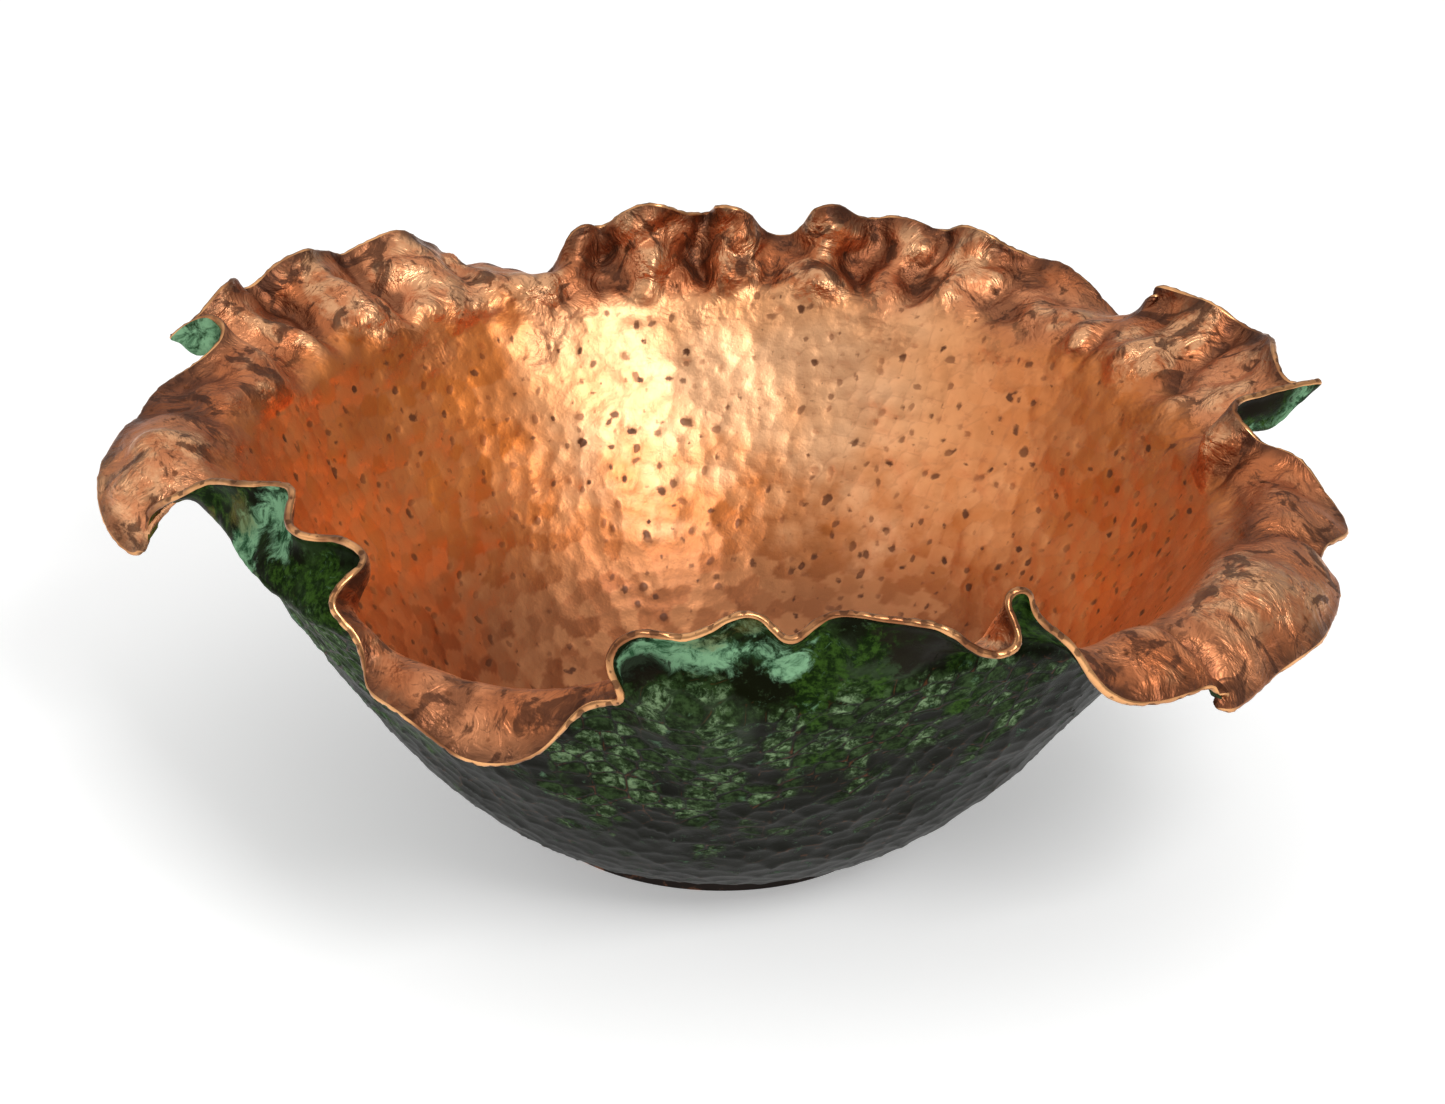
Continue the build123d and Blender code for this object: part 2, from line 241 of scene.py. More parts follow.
def middle_surface():
    """Grid of points (rows up the bowl, points round it), radii of the wall rows, and throat angles."""
    angle, radius, height = np.array(RUFFLES, float).T
    end = polar(angle, radius, height)
    throat = throat_angles(angle, end)
    steps = np.linalg.norm(np.roll(end, -1, axis=0) - end, axis=1) ** 0.7
    knots = np.append(0, np.cumsum(steps)[:-1]) / steps.sum()
    places = np.arange(ROUND_COUNT) / ROUND_COUNT
    lean_at, rise, lean, keep, curl = np.array(LEANS, float).T
    rise, lean, keep, curl = (np.interp(throat, lean_at, v, period=360) for v in (rise, lean, keep, curl))
    lean = np.radians(lean)
    tilt = np.radians(np.interp(height, *np.array(EDGE_TILTS, float).T) + curl)
    off_edge = polar(angle, np.cos(tilt), np.sin(tilt))
    start = polar(throat, THROAT_RADIUS, THROAT_HEIGHT + rise)
    pull = np.linalg.norm(end - start, axis=1, keepdims=True) * keep[:, None]
    leave = start + polar(throat, np.cos(lean), np.sin(lean)) * pull
    arrive = end - off_edge * pull
    ways = periodic_spline(knots, polar(throat, 1.0, 0.0), places)
    rise = periodic_spline(knots, rise[:, None], places)
    start, leave, arrive, end = (periodic_spline(knots, v, places) for v in (start, leave, arrive, end))
    radii = [3.0]
    while radii[-1] < THROAT_RADIUS:
        slope = (wall_height(radii[-1] + 0.5) - wall_height(radii[-1])) / 0.5
        radii.append(radii[-1] + ROW_GAP / math.hypot(1, slope))
    radii = np.array(radii) * THROAT_RADIUS / radii[-1]
    span = THROAT_RADIUS - FLAT_RADIUS
    up = np.array([0.0, 0.0, 1.0])
    rows = []
    for r in radii:
        share = ((r - FLAT_RADIUS) / span).clip(0) ** 3
        rows.append(ways * r + [0, 0, wall_height(r)] + up * rise * share)
    for share in np.linspace(0, 1, FLANGE_ROWS + 1)[1:]:
        rest = 1 - share
        row = start * rest**3 + leave * (3 * rest**2 * share)
        rows.append(row + arrive * (3 * rest * share**2) + end * share**3)
    angles = np.degrees(np.arctan2(ways[:, 1], ways[:, 0])) % 360
    return np.array(rows), radii, angles


def surface_normals(grid):
    """Unit normals pointing to the outside of the bowl."""
    around = np.roll(grid, -1, axis=1) - np.roll(grid, 1, axis=1)
    upwards = np.gradient(grid, axis=0)
    return unit(np.cross(around, upwards))


def lumps(points, size, rng, waves=22):
    """Smooth random field of about -1 to 1 with lumps of roughly this size."""
    ways = unit(rng.normal(size=(waves, 3))) * (2 * math.pi / (size * rng.uniform(0.7, 1.6, (waves, 1))))
    return np.sin(points @ ways.T + rng.uniform(0, 2 * math.pi, waves)).sum(-1) / math.sqrt(waves)


# ---- hammer marks ---------------------------------------------------------------
def mark_rows(grid, row_gap, mark_gap, scatter, rng, top=1.0):
    """Centres of hammer marks laid in staggered rows round the bowl."""
    lengths = np.linalg.norm(np.diff(grid, axis=0), axis=2).mean(axis=1)
    climb = np.append(0, np.cumsum(lengths))
    centres = []
    for number, height in enumerate(np.arange(row_gap / 2, climb[-1] * top, row_gap)):
        place = np.interp(height, climb, np.arange(len(climb)))
        low = min(int(place), len(grid) - 2)
        ring = grid[low] * (1 - place + low) + grid[low + 1] * (place - low)
        steps = np.linalg.norm(np.roll(ring, -1, axis=0) - ring, axis=1)
        run = np.append(0, np.cumsum(steps))
        count = max(3, round(run[-1] / mark_gap))
        spots = np.arange(count) + number % 2 / 2 + rng.uniform(-scatter, scatter, count)
        spots = spots % count * run[-1] / count
        columns = np.interp(spots, run, np.arange(len(run)))
        rows = place + rng.uniform(-scatter, scatter, count) * row_gap / max(lengths[low], 0.1)
        rows = np.clip(rows, 0, len(grid) - 1.001)
        low_c = columns.astype(int) % grid.shape[1]
        part = (columns - columns.astype(int))[:, None]
        low_r = rows.astype(int)
        part_r = (rows - low_r)[:, None]
        next_c = (low_c + 1) % grid.shape[1]
        under = grid[low_r, low_c] * (1 - part) + grid[low_r, next_c] * part
        over = grid[low_r + 1, low_c] * (1 - part) + grid[low_r + 1, next_c] * part
        centres.append(under * (1 - part_r) + over * part_r)
    return np.concatenate(centres)


def nearest_two(points, centres):
    """Distance to the nearest and second nearest centre, and which is nearest."""
    tree = kdtree.KDTree(len(centres))
    for number, centre in enumerate(centres):
        tree.insert(centre, number)
    tree.balance()
    flat = points.reshape(-1, 3)
    found = np.empty((len(flat), 3))
    for i, point in enumerate(flat):
        one, two = tree.find_n(point, 2)
        found[i] = one[2], two[2], one[1]
    found = found.reshape(points.shape[:2] + (3,))
    return found[..., 0], found[..., 1], found[..., 2].astype(int)


# ---- shape the sheet ------------------------------------------------------------
rng = np.random.default_rng(SEED)
middle, wall_radii, round_angles = middle_surface()
for _ in range(CORNER_PASSES):   # corners no sharper than the sheet can turn
    middle = middle / 2 + (np.roll(middle, 1, axis=1) + np.roll(middle, -1, axis=1)) / 4
wall_count = len(wall_radii)
flange_share = np.clip((np.arange(len(middle)) - wall_count + 1) / FLANGE_ROWS, 0, 1)[:, None]
wall_share = np.clip(np.arange(len(middle)) / (wall_count - 1), 0, 1)[:, None]
climb = wall_share + flange_share

row_steps = np.linalg.norm(np.diff(middle, axis=0), axis=2)
to_edge = np.concatenate([np.cumsum(row_steps[::-1], axis=0)[::-1], np.zeros((1, ROUND_COUNT))])

crumple = 0.7 * lumps(middle, 70, rng) * smooth(0.35, 0.6, climb)
crumple += 0.35 * lumps(middle, 24, rng) * smooth(0.4, 0.7, climb)
flange_ramp = smooth(0.93, 1.25, climb) * (0.35 + 0.65 * smooth(0, 9, to_edge))
at_back = (0.5 + 0.5 * np.cos(np.radians(round_angles - BACK_ANGLE))) ** 1.5
waves = (0.7 + 0.7 * at_back) * lumps(middle, 32, rng)
waves += (0.22 + 0.8 * at_back) * lumps(middle, 14, rng)
crumple += flange_ramp * waves
for (size, depth), share in ((BROAD_PLEATS, at_back), (FINE_PLEATS, at_back**2)):
    crumple += flange_ramp * share * depth * (PLEAT_LEVEL - np.abs(lumps(middle, size, rng)))
for angle, width, depth in CREASES:
    away = (round_angles - angle + 180) % 360 - 180
    away = np.radians(away) * THROAT_RADIUS + CREASE_WANDER * lumps(middle, 26, rng)
    crumple += depth * np.exp(-(away / width) ** 2) * smooth(0.97, 1.35, climb)
for angle, level, half_angle, half_climb, depth in BULGES:
    sideways = ((round_angles - angle + 180) % 360 - 180) / half_angle
    crumple += depth * np.exp(-(sideways**2) - ((climb - level) / half_climb) ** 2)
hollow = 0.5 + 0.5 * np.tanh((crumple - 0.4) / 2.2)
normals = surface_normals(middle)
middle = middle + normals * crumple[..., None]
normals = surface_normals(middle)

thick = SHEET + UPSET * (1 - smooth(0.3, 4.0, to_edge))

# outside: rows of shallow concave planishing marks that meet in ridges
outer_base = middle + normals * SHEET / 2
outer_centres = mark_rows(middle, *OUTER_MARKS, rng)
outer_near, outer_next, outer_mark = nearest_two(outer_base, outer_centres)
outer_ridge = (outer_next - outer_near) / 2
planish = 1 - 0.75 * smooth(1.0, 1.25, climb)
facet_tip = rng.uniform(0.0, OUTER_MARK_TIP, len(outer_centres)) - 0.01
outer_lift = planish * (OUTER_MARK_HOLLOW * np.minimum(outer_near, 6) ** 2 - 0.15)
outer_lift += planish * facet_tip[outer_mark] * (outer_centres[outer_mark][..., 2] - outer_base[..., 2])
outer_lift += 0.10 * lumps(outer_base, 5, rng) * (1.25 - planish)

# inside: pillowy marks with small dark pits punched between and on them
inner_base = middle - normals * SHEET / 2
inner_near, inner_next, inner_mark = nearest_two(inner_base, mark_rows(middle, *INNER_MARKS, rng))
inner_ridge = (inner_next - inner_near) / 2
pillow = 1 - 0.7 * smooth(1.0, 1.3, climb)
inner_lift = pillow * (0.10 - INNER_MARK_CROWN * np.minimum(inner_near, 5) ** 2)
inner_lift += 0.060 * lumps(inner_base, 6, rng)
inner_lift += 0.09 * lumps(inner_base, 13, rng)
pit_centres = mark_rows(middle, *PITS, rng)
pit_size = PIT_SMALLEST + PIT_RANGE * rng.uniform(0, 1, len(pit_centres)) ** 1.9
pit_strength = rng.uniform(*PIT_STAIN, len(pit_centres))
pit_way = unit(rng.normal(size=(len(pit_centres), 3)) * [1, 1, 0.5])
pit_near, _, pit_mark = nearest_two(inner_base, pit_centres)
pit_offset = ((inner_base - pit_centres[pit_mark]) * pit_way[pit_mark]).sum(-1)
pit_edge = np.sqrt(pit_near**2 + 1.6 * pit_offset**2)
pit_edge -= pit_size[pit_mark] * (1 - 0.35 * smooth(1.0, 1.2, climb))
pit_edge += 0.45 * lumps(inner_base, 3.0, rng)
inner_lift -= PIT_DEPTH * (1 - smooth(-1.1, 0.5, pit_edge))


def patch_field(patches):
    """How strongly verdigris patches of one kind colour each point, from 0 to 1."""
    total = np.zeros(climb.shape)
    wander = 0.35 * lumps(middle, 18, rng)
    for angle, level, half_angle, half_climb in patches:
        sideways = ((round_angles - angle + 180) % 360 - 180) / half_angle
        total = np.maximum(total, 1.25 - np.hypot(sideways, (climb - level) / half_climb) * 0.7 + wander)
    return total.clip(0, 1)


patch_fields = {name: patch_field(patches) for name, patches in PATCHES.items()}

outer_skin = middle + normals * (thick / 2 + outer_lift)[..., None]
inner_skin = middle - normals * (thick / 2 + inner_lift)[..., None]

# rounded edge, upset with small punch dents
EDGE_TURNS = np.radians([30, 60, 90, 120, 150])
off = unit(middle[-1] - middle[-3])
rim_line = middle[-1]
rim_steps = np.linalg.norm(np.roll(rim_line, -1, axis=0) - rim_line, axis=1)
rim_run = np.append(0, np.cumsum(rim_steps))
dent_count = round(rim_run[-1] / RIM_DENT_GAP)
dent_spots = (np.arange(dent_count) + rng.uniform(-0.32, 0.32, dent_count)) * rim_run[-1] / dent_count
dent_size = rng.uniform(*RIM_DENT_SIZE, dent_count)
run = rim_run[:-1]
gaps = np.abs((run[:, None] - dent_spots[None, :] + rim_run[-1] / 2) % rim_run[-1] - rim_run[-1] / 2)
nearest = gaps.argmin(axis=1)
dent_edge = gaps[np.arange(len(run)), nearest] - dent_size[nearest]
edge_rows = []
edge_dents = []
for turn in EDGE_TURNS:
    across = abs(math.cos(turn))
    from_middle = np.maximum(dent_edge + dent_size[nearest], 0)
    dent_here = np.sqrt(from_middle**2 + (across * 1.1) ** 2) - dent_size[nearest]
    dent_push = RIM_DENT_DEPTH * (1 - smooth(-0.4, 0.5, dent_here))
    push = thick[-1] / 2 - dent_push + 0.13 * lumps(rim_line, 4, rng)
    side = normals[-1] * math.cos(turn) + off * math.sin(turn)
    edge_rows.append(rim_line + side * push[:, None])
    edge_dents.append(dent_here)
edge_rows = np.array(edge_rows)
edge_dents = np.array(edge_dents)


# ---- build the mesh -------------------------------------------------------------
def row_strides():
    """How many points to skip round each row, so that cells near the middle stay square."""
    strides = []
    for row in range(len(middle)):
        reach = THROAT_RADIUS
        if row < wall_count:
            reach = np.linalg.norm(middle[row, :, :2], axis=1).min()
        stride = 1
        while stride < 32 and reach * 2 * math.pi / ROUND_COUNT * stride * 1.5 < ROW_GAP:
            stride *= 2
        strides.append(stride)
    return strides


def strip(lower, upper, lower_stride, upper_stride):
    """Faces between two rows of point numbers; the lower row may be twice as coarse."""
    faces = []
    count = ROUND_COUNT // lower_stride
    ratio = lower_stride // upper_stride
    for i in range(count):
        a, b = lower[i], lower[(i + 1) % count]
        tops = [upper[(i * ratio + k) % (count * ratio)] for k in range(ratio + 1)]
        faces.append((a, b, *reversed(tops)))
    return faces


def build_shell():
    strides = row_strides()
    points, faces, kinds = [], [], []
    fields = {name: [] for name in ("climb", "ridge", "mark", "pit", "rim", "hollow", "stain", *PATCHES)}
    shades = {"out": rng.uniform(0, 1, 200000), "in": rng.uniform(0, 1, 200000)}

    def add_row(row, stride, **values):
        first = len(points)
        points.extend(row[::stride])
        for name in fields:
            fields[name].extend(np.broadcast_to(values.get(name, 0.0), (ROUND_COUNT,))[::stride])
        return list(range(first, len(points)))

    outside = [
        add_row(
            outer_skin[r], strides[r], climb=climb[r], ridge=outer_ridge[r],
            mark=shades["out"][outer_mark[r]], pit=9.0, rim=to_edge[r], hollow=hollow[r],
            **{name: field[r] for name, field in patch_fields.items()},
        )
        for r in range(len(middle))
    ]
    edge = [
        add_row(edge_rows[r], 1, climb=2.0, ridge=9.0, mark=0.5, pit=edge_dents[r], rim=0.0)
        for r in range(len(edge_rows))
    ]
    inside = [
        add_row(
            inner_skin[r], strides[r], climb=climb[r], ridge=inner_ridge[r],
            mark=shades["in"][inner_mark[r]], pit=pit_edge[r], rim=to_edge[r],
            hollow=hollow[r], stain=pit_strength[pit_mark[r]],
        )
        for r in range(len(middle))
    ]
    for skin, kind, side in ((outside, 0, 1), (inside, 1, -1)):
        for r in range(len(skin) - 1):
            new = strip(skin[r], skin[r + 1], strides[r], strides[r + 1])
            faces.extend(face[::side] for face in new)
            kinds.extend([kind] * len(new))
        centre = len(points)
        hub = np.mean([points[i] for i in skin[0]], axis=0)
        points.append(hub)
        for name in fields:
            fields[name].append(fields[name][skin[0][0]])
        new = [(centre, skin[0][(i + 1) % len(skin[0])], skin[0][i]) for i in range(len(skin[0]))]
        faces.extend(face[::side] for face in new)
        kinds.extend([kind] * len(new))
    bands = [outside[-1]] + edge + [inside[-1]]
    for lower, upper in zip(bands, bands[1:]):
        new = strip(lower, upper, 1, 1)
        faces.extend(new)
        kinds.extend([2] * len(new))
    mesh = bpy.data.meshes.new("hammered_bowl")
    mesh.from_pydata((np.array(points) * MM).tolist(), [], faces)
    mesh.polygons.foreach_set("material_index", np.array(kinds, np.int32))
    mesh.polygons.foreach_set("use_smooth", np.ones(len(kinds), bool))
    for name, values in fields.items():
        layer = mesh.attributes.new(name, "FLOAT", "POINT")
        layer.data.foreach_set("value", np.array(values, np.float32))
    mesh.update()
    return mesh


bowl = bpy.data.objects.new("hammered_bowl", build_shell())
bpy.context.scene.collection.objects.link(bowl)
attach(bowl, "root")
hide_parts("bowl_shell")


# ---- materials ------------------------------------------------------------------
# Colours are linear red, green and blue.
WALL_RED, WALL_ORANGE = (0.52, 0.138, 0.019), (0.68, 0.198, 0.034)
WALL_BOTTOM_SHADE = (0.23, 0.070, 0.021)
# Paler copper painted where the light's reflection lies on the back wall.
SHEEN_DULL, SHEEN_PALE = (0.80, 0.36, 0.145), (0.90, 0.50, 0.26)
MARK_BRIGHT = (0.88, 0.42, 0.18)
WALL_SPECKLE = (0.40, 0.13, 0.045)
FLANGE_RED, FLANGE_PINK = (0.46, 0.145, 0.054), (0.70, 0.285, 0.130)
FLANGE_CREST_WEAR_AND_HIGHLIGHT = (0.88, 0.50, 0.26)
FLANGE_HOLLOW_PATINA_AND_SHADE = (0.15, 0.050, 0.024)
SMUDGE = (0.075, 0.030, 0.018)
STREAK = (0.13, 0.050, 0.028)
BURNT_RIM = (0.085, 0.036, 0.022)
PIT_BROWN = (0.095, 0.030, 0.011)
SEAM_BROWN = (0.40, 0.14, 0.055)
CHARCOAL, CHARCOAL_WARM = (0.004, 0.0045, 0.0025), (0.009, 0.009, 0.006)
CHARCOAL_PALE = (0.013, 0.0135, 0.009)
RUST, RUST_DARK = (0.105, 0.040, 0.016), (0.100, 0.036, 0.013)
LEAF_DARK, LEAF, LEAF_PALE = (0.005, 0.006, 0.002), (0.018, 0.036, 0.009), (0.050, 0.090, 0.036)
# Painted highlight and painted shade for the folds of the flange outside.
FOLD_HIGHLIGHT, FOLD_SHADE = (0.040, 0.060, 0.032), (0.004, 0.005, 0.002)
SCALE_DARK, SCALE_GREEN = (0.007, 0.014, 0.003), (0.040, 0.075, 0.024)
FLECK_GREEN, FLECK_PALE = (0.060, 0.110, 0.042), (0.26, 0.38, 0.20)
MOSS_DARK, MOSS_GREEN = (0.005, 0.014, 0.002), (0.034, 0.080, 0.010)
MINT_DARK, MINT_PALE = (0.030, 0.095, 0.042), (0.23, 0.44, 0.25)
OCHRE_DARK, OCHRE_PALE = (0.07, 0.06, 0.012), (0.22, 0.17, 0.045)
SOOT_AND_SHADE = (0.012, 0.009, 0.006)
EDGE_DULL, EDGE_BRIGHT, EDGE_DENT = (0.26, 0.10, 0.042), (0.80, 0.40, 0.17), (0.075, 0.032, 0.018)
FOOT_DARK, FOOT_BROWN, FOOT_RUBBED = (0.012, 0.010, 0.009), (0.05, 0.034, 0.028), (0.36, 0.15, 0.075)
SOLDER_DARK, SOLDER_BRASSY = (0.02, 0.017, 0.014), (0.16, 0.10, 0.055)

# The part of the wall painted pale as a sheen of reflected light, in metres: it fades in between each pair.
SHEEN_LEFT = (-0.080, -0.050)
SHEEN_RIGHT = (0.125, 0.045)
SHEEN_DEPTH = (-0.02, 0.07)
# The charcoal patina is a thin dull skin, so it mirrors the floor very little.
PATINA_IOR = 1.09


class Shader:
    """Small helper that wires up one procedural material."""

    def __init__(self, name):
        self.material = bpy.data.materials.new(name)
        self.material.use_nodes = True
        self.tree = self.material.node_tree
        self.tree.nodes.clear()
        self.surface = self.tree.nodes.new("ShaderNodeBsdfPrincipled")
        output = self.tree.nodes.new("ShaderNodeOutputMaterial")
        self.tree.links.new(self.surface.outputs["BSDF"], output.inputs["Surface"])
        self.place = self.tree.nodes.new("ShaderNodeTexCoord").outputs["Object"]

    def put(self, socket, value):
        if hasattr(value, "is_output"):
            self.tree.links.new(value, socket)
        elif isinstance(value, tuple) and len(value) == 3 and socket.type == "RGBA":
            socket.default_value = (*value, 1.0)
        else:
            socket.default_value = value

    def field(self, name):
        node = self.tree.nodes.new("ShaderNodeAttribute")
        node.attribute_name = name
        return node.outputs["Fac"]

    def axis(self, name):
        node = self.tree.nodes.new("ShaderNodeSeparateXYZ")
        self.tree.links.new(self.place, node.inputs["Vector"])
        return node.outputs[name]

    def noise(self, size_mm, detail=4.0, rough=0.55, distortion=0.0):
        node = self.tree.nodes.new("ShaderNodeTexNoise")
        self.tree.links.new(self.place, node.inputs["Vector"])
        node.inputs["Scale"].default_value = 1 / (size_mm * MM)
        node.inputs["Detail"].default_value = detail
        node.inputs["Roughness"].default_value = rough
        node.inputs["Distortion"].default_value = distortion
        return node.outputs["Fac"]

    def step(self, value, low, high, bottom=0.0, top=1.0):
        node = self.tree.nodes.new("ShaderNodeMapRange")
        node.interpolation_type = "SMOOTHSTEP"
        self.put(node.inputs["Value"], value)
        flip = low > high
        node.inputs["From Min"].default_value = min(low, high)
        node.inputs["From Max"].default_value = max(low, high)
        node.inputs["To Min"].default_value = top if flip else bottom
        node.inputs["To Max"].default_value = bottom if flip else top
        return node.outputs["Result"]

    def calc(self, operation, one, two=0.0):
        node = self.tree.nodes.new("ShaderNodeMath")
        node.operation = operation
        self.put(node.inputs[0], one)
        self.put(node.inputs[1], two)
        return node.outputs["Value"]

    def times(self, one, two):
        return self.calc("MULTIPLY", one, two)

    def plus(self, one, two):
        return self.calc("ADD", one, two)

    def ragged(self, value, noise, amount):
        """The value with noise about one half added, scaled by amount."""
        return self.plus(value, self.swing(noise, amount))

    def swing(self, noise, amount):
        return self.times(self.calc("SUBTRACT", noise, 0.5), amount)

    def mix(self, share, one, two):
        node = self.tree.nodes.new("ShaderNodeMix")
        node.data_type = "RGBA"
        self.put(node.inputs["Factor"], share)
        self.put(node.inputs[6], one)
        self.put(node.inputs[7], two)
        return node.outputs[2]

    def blend(self, share, one, two):
        node = self.tree.nodes.new("ShaderNodeMix")
        self.put(node.inputs["Factor"], share)
        self.put(node.inputs[2], one)
        self.put(node.inputs[3], two)
        return node.outputs[0]

    def bump(self, *layers):
        """Each layer is a height value and its depth in mm."""
        normal = None
        for height, depth_mm in layers:
            node = self.tree.nodes.new("ShaderNodeBump")
            self.put(node.inputs["Height"], height)
            node.inputs["Distance"].default_value = depth_mm * MM
            if normal is not None:
                self.tree.links.new(normal, node.inputs["Normal"])
            normal = node.outputs["Normal"]
        self.tree.links.new(normal, self.surface.inputs["Normal"])

    def finish(self, color, metallic, roughness):
        self.put(self.surface.inputs["Base Color"], color)
        self.put(self.surface.inputs["Metallic"], metallic)
        self.put(self.surface.inputs["Roughness"], roughness)
        return self.material


def inside_copper():
    s = Shader("copper_inside")
    climb, ridge, mark, pit = (s.field(n) for n in ("climb", "ridge", "mark", "pit"))
    rim, hollow, stain = (s.field(n) for n in ("rim", "hollow", "stain"))
    flange = s.step(s.ragged(climb, s.noise(24, 4.0), 0.7), 0.95, 1.3)
    broad = s.noise(55, 3.0)
    fine = s.noise(4, 5.0, 0.6)
    patchy = s.step(broad, 0.35, 0.65)
    # the wall: red copper, painted darker at the bottom as shade, painted pale at the back as a sheen of
    # reflected light
    across = s.ragged(s.axis("X"), s.noise(22, 4.0), 0.05)
    # painted sheen: the back wall is painted pale where the highlight falls
    painted_sheen = s.times(s.step(across, *SHEEN_LEFT), s.step(across, *SHEEN_RIGHT))
    painted_sheen = s.times(painted_sheen, s.step(s.axis("Y"), *SHEEN_DEPTH))
    painted_sheen = s.times(painted_sheen, s.step(s.ragged(climb, s.noise(14, 4.0), 0.4), 0.58, 0.84))
    wall = s.mix(patchy, WALL_RED, WALL_ORANGE)
    # painted shade: the wall is darkened towards the bottom
    wall = s.mix(s.step(climb, 0.78, 0.48), wall, WALL_BOTTOM_SHADE)
    wall = s.mix(painted_sheen, wall, s.mix(patchy, SHEEN_DULL, SHEEN_PALE))
    wall = s.mix(s.times(s.step(mark, 0.0, 1.0), 0.22), wall, MARK_BRIGHT)
    wall = s.mix(s.step(fine, 0.56, 0.8, 0.0, 0.45), wall, WALL_SPECKLE)
    # the flange: crests rubbed and painted paler as a highlight, hollows darkened with patina and painted
    # shade, smudges, streaks and a burnt rim
    lip = s.mix(s.step(broad, 0.4, 0.6), FLANGE_RED, FLANGE_PINK)
    # crests: paler copper, partly wear and partly painted highlight
    high = s.times(s.step(hollow, 0.42, 0.20), s.step(s.noise(8, 5.0, 0.65), 0.40, 0.58))
    lip = s.mix(s.times(high, 0.6), lip, FLANGE_CREST_WEAR_AND_HIGHLIGHT)
    # hollows: darker copper, partly patina and partly painted shade
    deep = s.step(s.ragged(hollow, s.noise(9, 5.0, 0.65), 0.9), 0.58, 0.88)
    lip = s.mix(s.times(deep, 0.72), lip, FLANGE_HOLLOW_PATINA_AND_SHADE)
    smudge = s.step(s.noise(15, 6.0, 0.62, 1.2), 0.535, 0.60)
    streak = s.step(s.noise(7, 6.0, 0.7, 1.6), 0.55, 0.63)
    lip = s.mix(s.times(smudge, 0.80), lip, SMUDGE)
    lip = s.mix(s.times(streak, 0.55), lip, STREAK)
    near_rim = s.step(s.plus(rim, s.times(s.noise(12, 3.0), 16.0)), 16.0, 7.0)
    lip = s.mix(s.times(near_rim, 0.75), lip, BURNT_RIM)
    color = s.mix(flange, wall, lip)
    # pits and the seams between hammer marks, on wall and flange alike
    dark_pit = s.step(s.ragged(pit, fine, 1.8), 0.55, -0.35)
    color = s.mix(s.times(dark_pit, stain), color, PIT_BROWN)
    color = s.mix(s.step(ridge, 0.5, 0.0, 0.0, 0.25), color, SEAM_BROWN)
    rough = s.blend(flange, 0.37, s.blend(high, 0.40, 0.27))
    rough = s.plus(rough, s.times(fine, 0.12))
    rough = s.plus(rough, s.times(s.times(smudge, flange), 0.15))
    rough = s.plus(rough, s.times(dark_pit, 0.20))
    dents = s.times(flange, s.noise(11.0, 4.0, 0.6, 0.8))
    s.bump((dents, 2.4), (s.noise(2.4, 4.0, 0.6), 0.16), (s.noise(0.7, 3.0), 0.03))
    s.put(s.surface.inputs["Coat Weight"], s.blend(flange, 0.30, 0.04))
    s.surface.inputs["Coat Roughness"].default_value = 0.38
    return s.finish(color, 1.0, rough)


